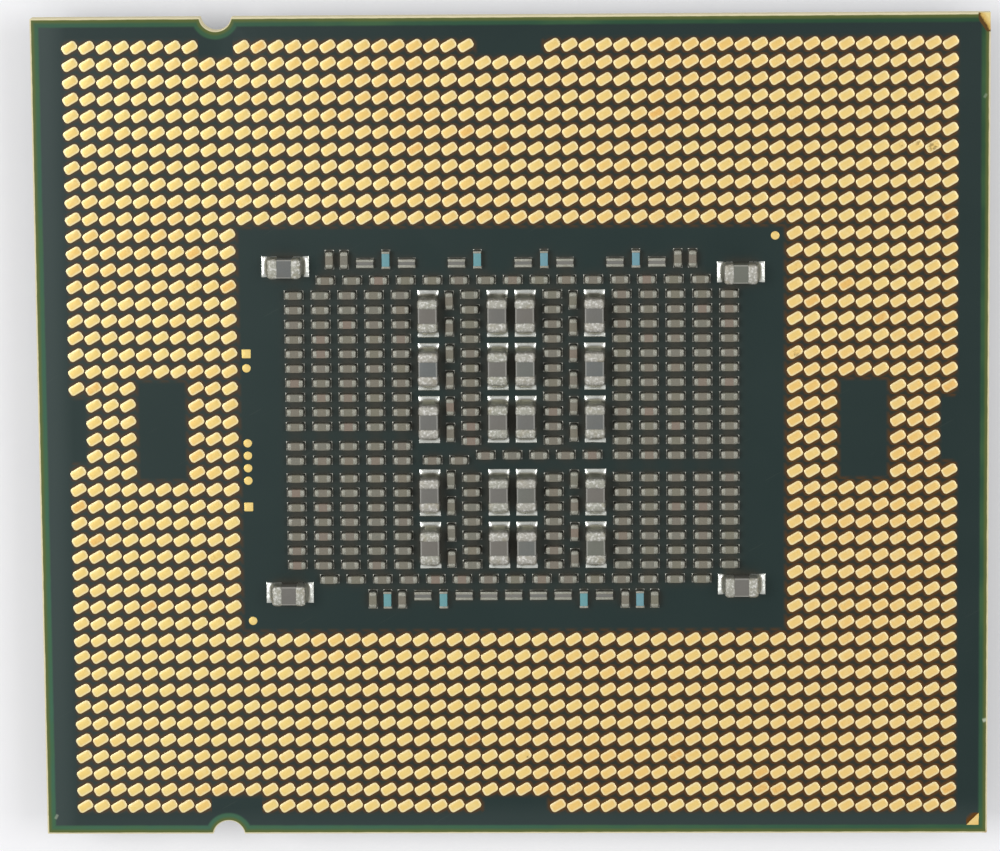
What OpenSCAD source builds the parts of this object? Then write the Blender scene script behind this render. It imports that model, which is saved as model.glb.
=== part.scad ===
// Processor in a land grid array package, lying on its heat spreader with the lands up.
// Sizes are in millimetres. Z = 0 is the outer face of the heat spreader, X runs along
// the rows of lands, and the package is centred on X and Y.

/* [Package] */
// Width of the substrate, along the rows of lands
package_w = 56.47; // [52:0.01:62]
// Depth of the substrate, across the rows of lands
package_d = 49.17; // [46:0.01:54]
// Thickness of the laminate substrate
substrate_t = 1.25; // [0.8:0.01:2]
// Break along the upper edges of the substrate
edge_break = 0.1; // [0.05:0.01:0.3]
// Radius of the two key notches
notch_r = 0.95; // [0.7:0.01:1.2]
// Depth of the key notches, from the edge inwards
notch_depth = 0.8; // [0.5:0.01:1.1]
// Land columns between the left edge and the middle of the notches
notch_column = 8.5; // [5.5:1:15.5]
// Leg of the three-cornered gold mark that shows the first land
marker_leg = 0.75; // [0.4:0.01:1]
// Distance of that mark from both edges of its corner
marker_inset = 0.5; // [0.3:0.01:0.6]

/* [Lands] */
// Spacing of the lands in both directions
land_pitch = 1.016; // [0.98:0.001:1.2]
// Length of a land
land_l = 0.95; // [0.75:0.01:1]
// Width of a land
land_w = 0.59; // [0.5:0.01:0.64]
// Radius of the round ends of a land
land_end_r = 0.33; // [0.33:0.01:0.36]
// Turn of the lands from the X axis, in degrees
land_tilt = 30; // [20:1:40]
// Height of the lands above the solder mask
land_t = 0.03; // [0.02:0.005:0.06]
// Least distance from the outer land centres to the edge
edge_margin = 1.7; // [1.2:0.01:2.4]
// Lands left out at the middle of each edge
edge_gap_lands = 4; // [2:2:8]
// Lands left out beside each key notch
notch_gap_lands = 2; // [2:2:4]
// Further lands left out beside the notch of the lower edge
lower_notch_extra = 1; // [0:1:2]
// Columns left free between the edge and each side window
side_window_start = 4; // [3:1:5]
// Columns left out in each side window
side_window_columns = 3; // [2:1:4]
// Rows left out in each side window
side_window_rows = 6; // [4:2:10]

/* [Component field] */
// Clear gap between neighbouring solder footprints
part_gap = 0.345; // [0.25:0.005:0.45]
// Small capacitor rows in the upper half of each side block
upper_rows = 12; // [8:1:13]
// Small capacitor rows in the lower half of each side block
lower_rows = 7; // [4:1:8]
// Small capacitor columns in each side block
block_columns = 5; // [3:1:5]
// Distance between the last upper row and the first lower row
channel = 1.35; // [1.1:0.01:1.8]
// How far the last upper rows of the left half sit lower
left_drop = 0.29; // [0.1:0.01:0.4]
// Number of those rows
dropped_rows = 2; // [1:1:3]
// Small capacitors in each of the two edge rows
edge_row_parts = 15; // [11:2:15]
// Offset of the edge rows to the right
edge_row_shift = 0.11; // [0:0.01:0.2]
// Small capacitors in the row that crosses the middle
middle_row_parts = 7; // [5:2:7]
// How many of them, from the left, sit lower
dropped_parts = 2; // [0:1:3]
// How much higher the left corner capacitors sit
corner_lift = 0.44; // [0:0.01:0.5]
// Spacing of wide capacitors that lie side by side in the strips
wide_pitch = 1.475; // [1.4:0.005:1.6]
// Spacing in the strips where a lying part meets an upright one
cross_step = 1.235; // [1.1:0.005:1.4]
// Free border between the field and the lands, along X
window_margin_x = 1.26; // [1.2:0.01:1.5]
// Free border between the field and the lands, along Y
window_margin_y = 1.34; // [1.2:0.01:1.5]

/* [Chip parts] */
// Length of a small capacitor
small_l = 1.02; // [0.95:0.01:1.1]
// Width of a small capacitor
small_w = 0.48; // [0.4:0.01:0.52]
// Height of a small capacitor
small_h = 0.48; // [0.3:0.01:0.6]
// Length of a small capacitor's metal ends
small_end = 0.26; // [0.15:0.01:0.35]
// Length of a large capacitor
large_l = 2; // [1.8:0.01:2.2]
// Width of a large capacitor
large_w = 1.2; // [1:0.01:1.3]
// Height of a large capacitor
large_h = 1.25; // [0.8:0.01:1.4]
// Length of a large capacitor's metal ends
large_end = 0.5; // [0.3:0.01:0.7]
// Thickness of a large capacitor's metal ends over the ceramic
large_end_wall = 0.04; // [0.02:0.005:0.08]
// Corner radius of a large capacitor's metal ends
large_end_r = 0.14; // [0.05:0.01:0.24]
// Length of a wide capacitor, along its metal sides
wide_l = 1.02; // [0.9:0.01:1.1]
// Width of a wide capacitor, across its metal sides
wide_w = 0.5; // [0.45:0.01:0.6]
// Height of a wide capacitor
wide_h = 0.32; // [0.25:0.01:0.5]
// Width of a wide capacitor's metal sides
wide_end = 0.16; // [0.1:0.01:0.2]
// Height of a blue chip
blue_h = 0.44; // [0.3:0.01:0.6]
// Length of a blue chip's metal ends
blue_end = 0.13; // [0.08:0.01:0.2]
// Step from the metal ends down to the ceramic
ceramic_inset = 0.015; // [0.005:0.005:0.03]
// Solder under the metal ends of a large capacitor
solder_t = 0.03; // [0.02:0.005:0.06]
// Climb of the solder up the metal ends of a small part
small_climb = 0.15; // [0.08:0.01:0.25]
// Solder past the ends of a small part
small_toe = 0.11; // [0.08:0.005:0.14]
// Solder past the sides of a small part
small_side = 0.025; // [0.01:0.005:0.04]
// Solder past the ends of a large capacitor
large_toe = 0.415; // [0.25:0.005:0.45]
// Solder past the sides of a large capacitor
large_side = 0.05; // [0.02:0.005:0.06]
// Solder past the metal sides of a wide capacitor
wide_toe = 0.15; // [0.08:0.005:0.18]
// Solder past the short ends of a wide capacitor
wide_side = 0.02; // [0.01:0.005:0.04]

/* [Test pads] */
// Diameter of a round test pad
round_pad_d = 0.51; // [0.4:0.01:0.6]
// Side of a square test pad
square_pad = 0.54; // [0.4:0.01:0.6]
// Inset of the two lone round pads from the edges of the window
lone_pad_inset = 0.65; // [0.5:0.01:0.8]
// Inset of the column of pads from the left edge of the window
pad_column_inset = 0.5; // [0.45:0.01:0.6]
// Distance of the square pads from the middle of their column
square_pad_y = 4.61; // [4.4:0.01:5.5]
// Distance from the upper square pad to the round pad under it
pair_pitch = 0.87; // [0.75:0.01:0.95]
// Distance from the middle down to the first of the round pads in line
line_start = 0.77; // [0.4:0.01:0.9]
// Spacing of the round pads in line
line_pitch = 0.752; // [0.7:0.002:0.8]
// Number of round pads in line
line_pads = 4; // [2:1:4]

/* [Heat spreader and die] */
// Distance from the substrate's edge to the brim of the heat spreader
lid_inset = 4.2; // [3:0.1:5]
// Thickness of the brim
brim_t = 1.6; // [1.4:0.05:2.2]
// Corner radius of the brim
brim_r = 2; // [1:0.1:3]
// Height of the raised middle over the brim
plateau_rise = 1.45; // [0.8:0.05:2]
// Width of the brim left and right of the raised middle
brim_x = 4; // [2:0.1:5]
// Width of the brim above and below the raised middle
brim_y = 2.4; // [1.5:0.1:4]
// Corner radius of the raised middle
plateau_r = 2.5; // [1:0.1:3.5]
// Break along the rim of the raised middle
plateau_break = 0.3; // [0.1:0.05:0.6]
// Width of the foot that stands on the sealant
foot_w = 3; // [2:0.1:3.5]
// Corner radius of the hollow inside the foot
hollow_r = 1.5; // [0.5:0.1:2.5]
// Thickness of the sealant under the foot
sealant_t = 0.15; // [0.05:0.01:0.3]
// Width of the sealant bead
sealant_w = 1.8; // [1:0.1:2]
// Gap in the bead that vents the hollow
vent_gap = 2; // [1:0.1:4]
// Width of the silicon die
die_w = 31.5; // [20:0.1:33]
// Depth of the silicon die
die_d = 21.7; // [14:0.1:26]
// Thickness of the silicon die
die_t = 0.78; // [0.6:0.01:0.9]
// Height of the bumps under the die
bump_t = 0.07; // [0.04:0.01:0.1]
// Reach of the underfill past the die, and its climb up the die's sides
underfill_skirt = 0.5; // [0.3:0.05:0.55]
// Thickness of the thermal solder between die and heat spreader
thermal_t = 0.3; // [0.15:0.01:0.4]

/* [Hidden] */
$fn = 48;
over = 1;  // reach of a cut past the faces that it opens

// Levels from the heat spreader's outer face upwards
lid_h = plateau_rise + brim_t;
die_side_z = lid_h + sealant_t;
land_side_z = die_side_z + substrate_t;
hollow_depth = bump_t + die_t + thermal_t - sealant_t;

// Plan sizes of the heat spreader
brim_w = package_w - 2 * lid_inset;
brim_d = package_d - 2 * lid_inset;

// Kinds of chip part: length, width, height, metal end, solder past the ends and the sides
SMALL = [small_l, small_w, small_h, small_end, small_toe, small_side];
LARGE = [large_l, large_w, large_h, large_end, large_toe, large_side];
BLUE = [small_l, small_w, blue_h, blue_end, small_toe, small_side];
WIDE = [wide_w, wide_l, wide_h, wide_end, wide_toe, wide_side];

// Solder footprints and the spacings that they give
function footprint_l(kind) = kind[0] + 2 * kind[4];
function footprint_w(kind) = kind[1] + 2 * kind[5];
function spaced(a, b) = a / 2 + part_gap + b / 2;
small_fl = footprint_l(SMALL);
small_fw = footprint_w(SMALL);
large_fl = footprint_l(LARGE);
large_fw = footprint_w(LARGE);
row_pitch = spaced(small_fw, small_fw);
column_pitch = spaced(small_fl, small_fl);
large_pitch = spaced(large_fl, large_fl);

// Columns from the middle outwards: large, small, upright small, large, then the block
large_x1 = spaced(large_fw, large_fw) / 2;
inner_x = large_x1 + spaced(large_fw, small_fl);
upright_x = inner_x + spaced(small_fl, small_fw);
large_x2 = upright_x + spaced(small_fw, large_fw);
block_x = large_x2 + spaced(large_fw, small_fl);

// Rows: the field is centred on Y, and the channel lies between its two halves
edge_row_y = ((upper_rows + lower_rows) * row_pitch + channel) / 2;
function upper_y(k) = edge_row_y - (upper_rows - k) * row_pitch;
function lower_y(k) = -edge_row_y + (lower_rows - k) * row_pitch;
function drop(side, k) = side < 0 && k < dropped_rows ? left_drop : 0;
split_y = upper_y(0) - channel / 2;
middle_top = upper_y(0) + small_fw / 2 + part_gap / 2;

// Places from a start outwards of which the footprints stay clear of a limit
function filled(start, limit, pitch, length) =
    [for (y = start; y - length / 2 > limit; y = y - pitch) y];
upright_start = edge_row_y - spaced(small_fw, small_fl);
large_start = edge_row_y - spaced(small_fw, large_fl);
function column_y(start, pitch, length) = concat(
    filled(start, middle_top, pitch, length),
    [for (y = filled(start, -split_y, pitch, length)) -y]);
upright_ys = column_y(upright_start, column_pitch, small_fl);
large_ys = column_y(large_start, large_pitch, large_fl);

// Strips outside the edge rows, from the middle outwards: w wide, b blue, s small
strip_y = edge_row_y + small_fw / 2 + part_gap;
upper_kinds = "wbwwbwss";
upper_steps = [wide_pitch / 2, cross_step, cross_step, 2 * wide_pitch,
    cross_step, cross_step, cross_step, row_pitch];
lower_kinds = "wwwbwsbs";
lower_steps = [0, wide_pitch, wide_pitch, cross_step,
    cross_step, cross_step, row_pitch, row_pitch];
function total(steps, last) = last < 0 ? 0 : steps[last] + total(steps, last - 1);
function strip_spots(kinds, steps, up, kind, length) = [
    for (i = [0 : len(kinds) - 1], side = [-1, 1])
        if (kinds[i] == kind && (i > 0 || side > 0))
            [side * total(steps, i), up * (strip_y + length / 2), 90]];
function both_strips(kind, length) = concat(
    strip_spots(upper_kinds, upper_steps, 1, kind, length),
    strip_spots(lower_kinds, lower_steps, -1, kind, length));

// Corner capacitors, past the ends of the edge rows and over the side blocks
edge_row_half = (edge_row_parts - 1) / 2 * column_pitch;
corner_reach = edge_row_half + spaced(small_fl, large_fl);
corner_y = edge_row_y - row_pitch + spaced(small_fw, large_fw);

// Spots of each group, as X, Y and turn
function block_spots(side) = [
    for (c = [0 : block_columns - 1], k = [0 : upper_rows + lower_rows - 1])
        [side * (block_x + c * column_pitch),
         k < upper_rows ? upper_y(k) - drop(side, k) : lower_y(k - upper_rows), 0]];
left_spots = block_spots(-1);
right_spots = block_spots(1);
centre_spots = concat(
    [for (side = [-1, 1], k = [1 : upper_rows - 1]) [side * inner_x, upper_y(k), 0]],
    [for (side = [-1, 1], k = [0 : lower_rows - 1]) [side * inner_x, lower_y(k), 0]],
    [for (side = [-1, 1], y = upright_ys) [side * upright_x, y, 90]],
    [for (i = [0 : middle_row_parts - 1])
        let (x = (i - (middle_row_parts - 1) / 2) * column_pitch)
        [x, upper_y(0) - (i < dropped_parts ? left_drop : 0), 0]]);
border_spots = concat(
    [for (side = [-1, 1], i = [0 : edge_row_parts - 1])
        [edge_row_shift - edge_row_half + i * column_pitch, side * edge_row_y, 0]],
    both_strips("s", small_fl));
blue_spots = both_strips("b", small_fl);
wide_spots = both_strips("w", footprint_l(WIDE));
large_spots = concat(
    [for (side = [-1, 1], x = [large_x1, large_x2], y = large_ys) [side * x, y, 90]],
    [for (up = [-1, 1]) [edge_row_shift - corner_reach, up * (corner_y + corner_lift), 0]],
    [for (up = [-1, 1]) [edge_row_shift + corner_reach, up * corner_y, 0]]);

// Window in the lands, around the field
window_x = edge_row_shift + corner_reach + large_fl / 2 + window_margin_x;
window_y = strip_y + small_fl + window_margin_y;

// Land grid: as many columns and rows as the edges leave room for
function fitting(side) = 2 * floor((side / 2 - edge_margin) / land_pitch + 0.5);
columns = fitting(package_w);
rows = fitting(package_d);
function land_x(c) = (c - (columns - 1) / 2) * land_pitch;
function land_y(r) = ((rows - 1) / 2 - r) * land_pitch;
function from_edge(i, count) = min(i, count - 1 - i);
function between(i, first, count) = i >= first && i < first + count;
notch_x = land_x(notch_column);

// Lands that are left out: at the edges, the notches and the side windows
function near_middle(v) = abs(v) < edge_gap_lands * land_pitch / 2;
function near_notch(c, r) =
    c > notch_column - notch_gap_lands / 2 - 0.5
    && c < notch_column + notch_gap_lands / 2 + 0.5 + (r > 0 ? lower_notch_extra : 0);
function left_out(c, r) =
    from_edge(r, rows) == 0 && (near_middle(land_x(c)) || near_notch(c, r))
    || from_edge(c, columns) == 0 && near_middle(land_y(r))
    || between(from_edge(c, columns), side_window_start, side_window_columns)
        && abs(land_y(r)) < side_window_rows * land_pitch / 2;
land_spots = [for (r = [0 : rows - 1], c = [0 : columns - 1])
    if (!left_out(c, r)) [land_x(c), land_y(r)]];

// Test pads and their column beside the window's left edge
pad_column_x = -window_x + pad_column_inset;
round_pad_spots = concat(
    [for (side = [-1, 1]) side * [window_x - lone_pad_inset, window_y - lone_pad_inset]],
    [[pad_column_x, square_pad_y - pair_pitch]],
    [for (i = [0 : line_pads - 1]) [pad_column_x, -line_start - i * line_pitch]]);
square_pad_spots = [for (side = [-1, 1]) [pad_column_x, side * square_pad_y]];

// Rectangle with round corners, centred
module rounded_rect(w, d, r) {
    square([w - 2 * r, d], center = true);
    square([w, d - 2 * r], center = true);
    for (x = [-1, 1], y = [-1, 1])
        translate([x * (w / 2 - r), y * (d / 2 - r)])
            circle(r);
}

// Section of a slab whose two upper edges are broken
module broken_section(w, h, b) {
    polygon([[-w / 2, 0], [w / 2, 0], [w / 2, h - b], [w / 2 - b, h],
        [b - w / 2, h], [-w / 2, h - b]]);
}

// Slab with all four upper edges broken, standing on Z = 0
module broken_slab(w, d, h, b) {
    intersection() {
        translate([0, d / 2, 0])
            rotate([90, 0, 0])
                linear_extrude(d) broken_section(w, h, b);
        translate([-w / 2, 0, 0])
            rotate([90, 0, 90])
                linear_extrude(w) broken_section(d, h, b);
    }
}

module package_substrate() {
    color("DarkSlateGray")
        translate([0, 0, die_side_z])
            difference() {
                broken_slab(package_w, package_d, substrate_t, edge_break);
                for (side = [-1, 1])
                    translate([notch_x, side * (package_d / 2 + notch_r - notch_depth), -over])
                        cylinder(r = notch_r, h = substrate_t + 2 * over);
            }
}

// Stamped cup: raised middle, brim, and a hollow that takes the die
module heat_spreader() {
    color("Silver")
        difference() {
            union() {
                intersection() {
                    linear_extrude(lid_h - hollow_depth)
                        rounded_rect(brim_w - 2 * brim_x, brim_d - 2 * brim_y, plateau_r);
                    translate([0, 0, lid_h])
                        rotate([180, 0, 0])
                            broken_slab(brim_w - 2 * brim_x, brim_d - 2 * brim_y, lid_h, plateau_break);
                }
                translate([0, 0, plateau_rise])
                    linear_extrude(brim_t) rounded_rect(brim_w, brim_d, brim_r);
            }
            translate([0, 0, lid_h - hollow_depth])
                linear_extrude(hollow_depth + over)
                    rounded_rect(brim_w - 2 * foot_w, brim_d - 2 * foot_w, hollow_r);
        }
}

// Bead along the middle of the foot, open at one side to vent the hollow
module lid_sealant() {
    inner = foot_w / 2 + sealant_w / 2;
    outer = foot_w / 2 - sealant_w / 2;
    mid_r = (brim_r + hollow_r) / 2;
    color("DimGray")
        translate([0, 0, lid_h])
            linear_extrude(sealant_t)
                difference() {
                    rounded_rect(brim_w - 2 * outer, brim_d - 2 * outer, mid_r);
                    rounded_rect(brim_w - 2 * inner, brim_d - 2 * inner, hollow_r);
                    translate([-vent_gap / 2, 0])
                        square([vent_gap, brim_d]);
                }
}

module silicon_die() {
    color("SlateGray")
        translate([-die_w / 2, -die_d / 2, lid_h - hollow_depth + thermal_t])
            cube([die_w, die_d, die_t]);
}

// Resin that fills the gap around the bumps and climbs the sides of the die
module die_underfill() {
    reach = 2 * underfill_skirt;
    height = bump_t + underfill_skirt;
    color("Black")
        difference() {
            translate([0, 0, die_side_z])
                rotate([180, 0, 0])
                    broken_slab(die_w + reach, die_d + reach, height, underfill_skirt / 2);
            translate([-die_w / 2, -die_d / 2, die_side_z - height - over])
                cube([die_w, die_d, height + over - bump_t]);
        }
}

module thermal_solder() {
    color("LightGray")
        translate([-die_w / 2, -die_d / 2, lid_h - hollow_depth])
            cube([die_w, die_d, thermal_t]);
}

// Outline of one land: straight long sides and round ends
module land_outline() {
    end_x = land_l / 2 - land_end_r;
    intersection() {
        square([land_l, land_w], center = true);
        union() {
            square([2 * end_x, 2 * land_end_r], center = true);
            for (side = [-1, 1])
                translate([side * end_x, 0])
                    circle(land_end_r);
        }
    }
}

// One bank of lands, all turned alike
module lands(spots) {
    color("Gold")
        translate([0, 0, land_side_z])
            linear_extrude(land_t)
                for (s = spots)
                    translate(s)
                        rotate(land_tilt)
                            land_outline();
}

module upper_lands() {
    lands([for (s = land_spots) if (s[1] > window_y) s]);
}

module lower_lands() {
    lands([for (s = land_spots) if (s[1] < -window_y) s]);
}

module left_lands() {
    lands([for (s = land_spots) if (abs(s[1]) <= window_y && s[0] < -window_x) s]);
}

module right_lands() {
    lands([for (s = land_spots) if (abs(s[1]) <= window_y && s[0] > window_x) s]);
}

module round_test_pads() {
    color("Gold")
        for (s = round_pad_spots)
            translate([s[0], s[1], land_side_z])
                cylinder(d = round_pad_d, h = land_t);
}

module square_test_pads() {
    color("Gold")
        for (s = square_pad_spots)
            translate([s[0] - square_pad / 2, s[1] - square_pad / 2, land_side_z])
                cube([square_pad, square_pad, land_t]);
}

module first_land_mark() {
    color("Gold")
        translate([package_w / 2 - marker_inset, marker_inset - package_d / 2, land_side_z])
            linear_extrude(land_t)
                polygon([[0, 0], [0, marker_leg], [-marker_leg, 0]]);
}

// Places its children at each spot on the land side
module at_each(spots) {
    for (s = spots)
        translate([s[0], s[1], land_side_z])
            rotate(s[2])
                children();
}

// Ceramic between the metal ends, which lie along X
module chip_body(kind) {
    length = kind[0] - 2 * kind[3];
    width = kind[1] - 2 * ceramic_inset;
    translate([-length / 2, -width / 2, ceramic_inset])
        cube([length, width, kind[2] - 2 * ceramic_inset]);
}

module chip_ends(kind) {
    for (x = [-kind[0] / 2, kind[0] / 2 - kind[3]])
        translate([x, -kind[1] / 2, 0])
            cube([kind[3], kind[1], kind[2]]);
}

// Section of the solder past each end, drawn out over the width of the footprint
module both_toes(kind) {
    for (turn = [0, 180])
        rotate(turn)
            translate([kind[0] / 2, footprint_w(kind) / 2, 0])
                rotate([90, 0, 0])
                    linear_extrude(footprint_w(kind)) children();
}

// Solder wedge that climbs the face of each metal end
module chip_solder(kind) {
    both_toes(kind)
        polygon([[0, 0], [kind[4], 0], [0, small_climb]]);
}

// Ceramic block of a large capacitor, which runs into its metal end caps
module large_ceramic() {
    wall = large_end_wall;
    translate([wall - large_l / 2, wall - large_w / 2, solder_t + wall])
        cube([large_l - 2 * wall, large_w - 2 * wall, large_h - 2 * wall]);
}

module large_capacitor_bodies() {
    color("Gray")
        at_each(large_spots) large_ceramic();
}

module large_capacitor_ends() {
    color("Silver")
        at_each(large_spots)
            difference() {
                for (side = [-1, 1])
                    translate([side * (large_l - large_end) / 2, 0, solder_t])
                        linear_extrude(large_h) rounded_rect(large_end, large_w, large_end_r);
                large_ceramic();
            }
}

// Solder under each end cap, with a hollow fillet up its face
module large_capacitor_solder() {
    color("Gainsboro")
        at_each(large_spots)
            both_toes(LARGE) {
                translate([-large_end, 0])
                    square([large_end + large_toe, solder_t]);
                translate([0, solder_t])
                    difference() {
                        square(large_toe);
                        translate([large_toe, large_toe])
                            circle(large_toe);
                    }
            }
}

module left_capacitor_bodies() {
    color("Tan")
        at_each(left_spots) chip_body(SMALL);
}

module left_capacitor_ends() {
    color("Silver")
        at_each(left_spots) chip_ends(SMALL);
}

module left_capacitor_solder() {
    color("Gainsboro")
        at_each(left_spots) chip_solder(SMALL);
}

module right_capacitor_bodies() {
    color("Tan")
        at_each(right_spots) chip_body(SMALL);
}

module right_capacitor_ends() {
    color("Silver")
        at_each(right_spots) chip_ends(SMALL);
}

module right_capacitor_solder() {
    color("Gainsboro")
        at_each(right_spots) chip_solder(SMALL);
}

module centre_capacitor_bodies() {
    color("Tan")
        at_each(centre_spots) chip_body(SMALL);
}

module centre_capacitor_ends() {
    color("Silver")
        at_each(centre_spots) chip_ends(SMALL);
}

module centre_capacitor_solder() {
    color("Gainsboro")
        at_each(centre_spots) chip_solder(SMALL);
}

module border_capacitor_bodies() {
    color("Tan")
        at_each(border_spots) chip_body(SMALL);
}

module border_capacitor_ends() {
    color("Silver")
        at_each(border_spots) chip_ends(SMALL);
}

module border_capacitor_solder() {
    color("Gainsboro")
        at_each(border_spots) chip_solder(SMALL);
}

module wide_capacitor_bodies() {
    color("Gray")
        at_each(wide_spots) chip_body(WIDE);
}

module wide_capacitor_ends() {
    color("Silver")
        at_each(wide_spots) chip_ends(WIDE);
}

module wide_capacitor_solder() {
    color("Gainsboro")
        at_each(wide_spots) chip_solder(WIDE);
}

module blue_chip_bodies() {
    color("SteelBlue")
        at_each(blue_spots) chip_body(BLUE);
}

module blue_chip_ends() {
    color("Silver")
        at_each(blue_spots) chip_ends(BLUE);
}

module blue_chip_solder() {
    color("Gainsboro")
        at_each(blue_spots) chip_solder(BLUE);
}

package_substrate();
heat_spreader();
lid_sealant();
silicon_die();
die_underfill();
thermal_solder();
upper_lands();
lower_lands();
left_lands();
right_lands();
round_test_pads();
square_test_pads();
first_land_mark();
large_capacitor_bodies();
large_capacitor_ends();
large_capacitor_solder();
left_capacitor_bodies();
left_capacitor_ends();
left_capacitor_solder();
right_capacitor_bodies();
right_capacitor_ends();
right_capacitor_solder();
centre_capacitor_bodies();
centre_capacitor_ends();
centre_capacitor_solder();
border_capacitor_bodies();
border_capacitor_ends();
border_capacitor_solder();
wide_capacitor_bodies();
wide_capacitor_ends();
wide_capacitor_solder();
blue_chip_bodies();
blue_chip_ends();
blue_chip_solder();
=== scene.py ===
import math
import random

import bmesh
import bpy
import numpy as np
from mathutils import Matrix, Vector


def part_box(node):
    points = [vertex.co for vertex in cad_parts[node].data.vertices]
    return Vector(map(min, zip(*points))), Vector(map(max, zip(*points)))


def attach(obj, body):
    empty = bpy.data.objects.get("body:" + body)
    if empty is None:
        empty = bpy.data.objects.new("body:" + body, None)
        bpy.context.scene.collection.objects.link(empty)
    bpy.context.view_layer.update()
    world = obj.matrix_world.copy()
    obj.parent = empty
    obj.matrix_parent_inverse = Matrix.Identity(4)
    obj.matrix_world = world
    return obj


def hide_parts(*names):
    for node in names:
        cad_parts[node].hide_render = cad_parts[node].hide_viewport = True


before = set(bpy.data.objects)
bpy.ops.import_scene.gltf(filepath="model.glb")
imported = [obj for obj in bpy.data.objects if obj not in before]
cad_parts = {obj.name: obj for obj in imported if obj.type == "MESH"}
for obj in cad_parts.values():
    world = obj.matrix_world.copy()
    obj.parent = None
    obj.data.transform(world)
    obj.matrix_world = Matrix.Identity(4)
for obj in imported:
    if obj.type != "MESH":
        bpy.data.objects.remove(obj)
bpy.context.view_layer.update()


# Substrate.
# A board of glass-fibre laminate under dark green solder mask, whose copper planes stop short of the
# edges. It is routed out of a larger panel, so the cut edge and both key notches show bare laminate.
MM = 0.001
board_low, board_high = (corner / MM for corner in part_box("package_substrate"))
half_w, half_d, board_top = board_high
board_base = board_low.z
corner_steps = 6
corner_r = 0.07
notch_x = -17.272
notch_r = 0.95
notch_depth = 0.8
notch_y = half_d + notch_r - notch_depth
rim_in = 0.16
rim_drop = 0.1
rim_bend = 0.35
base_bevel = 0.05
skin = 0.01
ply = 0.21
mask_wrap = 0.05
broken_x = 0.62
broken_y = 1.0
broken_deep = 0.3
broken_wander = 0.06


def paint(red, green, blue):
    """A colour as it is seen on a screen, from 0 to 255, as the shader takes it."""
    tones = [c / 255 for c in (red, green, blue)]
    return tuple(t / 12.92 if t <= 0.04045 else ((t + 0.055) / 1.055) ** 2.4 for t in tones) + (1,)


class Wire:
    """A socket in a material that takes part in sums, each of which adds a Math node."""

    def __init__(self, socket):
        self.socket = socket
        self.tree = socket.id_data

    def node(self, kind, settings=None, sockets=None, out=0):
        """Adds a node: its settings first, then the values or links of its sockets."""
        added = self.tree.nodes.new("ShaderNode" + kind)
        for name, value in (settings or {}).items():
            setattr(added, name, value)
        for name, value in (sockets or {}).items():
            if isinstance(value, Wire):
                self.tree.links.new(value.socket, added.inputs[name])
            else:
                added.inputs[name].default_value = value
        return Wire(added.outputs[out])

    def sum(self, operation, *terms):
        return self.node("Math", {"operation": operation}, dict(enumerate(terms)))

    def __add__(self, other):
        return self.sum("ADD", self, other)

    def __radd__(self, other):
        return self.sum("ADD", other, self)

    def __sub__(self, other):
        return self.sum("SUBTRACT", self, other)

    def __rsub__(self, other):
        return self.sum("SUBTRACT", other, self)

    def __mul__(self, other):
        return self.sum("MULTIPLY", self, other)

    def __rmul__(self, other):
        return self.sum("MULTIPLY", other, self)

    def __truediv__(self, other):
        return self.sum("DIVIDE", self, other)

    def __pow__(self, other):
        return self.sum("POWER", self, other)

    def __lt__(self, other):
        return self.sum("LESS_THAN", self, other)

    def __gt__(self, other):
        return self.sum("GREATER_THAN", self, other)

    def __abs__(self):
        return self.sum("ABSOLUTE", self)

    def floor(self):
        return self.sum("FLOOR", self)

    def least(self, other):
        return self.sum("MINIMUM", self, other)

    def most(self, other):
        return self.sum("MAXIMUM", self, other)

    def rise(self, low, high):
        """0 up to low and 1 from high on, with a smooth step between."""
        ends = {0: self, 1: low, 2: high, 3: 0.0, 4: 1.0}
        return self.node("MapRange", {"interpolation_type": "SMOOTHSTEP"}, ends)

    def blend(self, under, over):
        """The colour under, covered by the colour over as far as this value says."""
        return self.node("Mix", {"data_type": "RGBA"}, {0: self, 6: under, 7: over}, out=2)

    def axes(self):
        split = self.node("SeparateXYZ", sockets={0: self}).socket.node
        return [Wire(output) for output in split.outputs]

    def vector(self, x, y, z=0.0):
        return self.node("CombineXYZ", sockets={0: x, 1: y, 2: z})

    def noise(self, scale, detail=2.0, rough=0.5):
        """Cloudy noise from 0 to 1 over this place, with so many clouds to a millimetre."""
        return self.node("TexNoise", sockets={
            "Vector": self, "Scale": scale, "Detail": detail, "Roughness": rough})

    def bump(self, depth, strength=1.0):
        """The normal of a surface with this height, of which 1 is so many millimetres."""
        return self.node("Bump", sockets={
            "Strength": strength, "Distance": depth * MM, "Height": self})


def begin(name):
    """Opens a material, and gives it with the place on its piece in millimetres."""
    material = bpy.data.materials.new(name)
    material.use_nodes = True
    shader = Wire(material.node_tree.nodes["Principled BSDF"].outputs[0])
    metres = shader.node("TexCoord", out=3)
    return material, metres.node("VectorMath", {"operation": "SCALE"}, {0: metres, "Scale": 1 / MM})


def coat(material, sockets):
    """Sets or links sockets of the material's own shader."""
    shader = material.node_tree.nodes["Principled BSDF"]
    for name, value in sockets.items():
        if isinstance(value, Wire):
            value.tree.links.new(value.socket, shader.inputs[name])
        else:
            shader.inputs[name].default_value = value


def dress(node, material):
    """Gives a material to a CAD node that is shown in its own shape."""
    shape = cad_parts[node].data
    shape.materials.clear()
    shape.materials.append(material)


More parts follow.
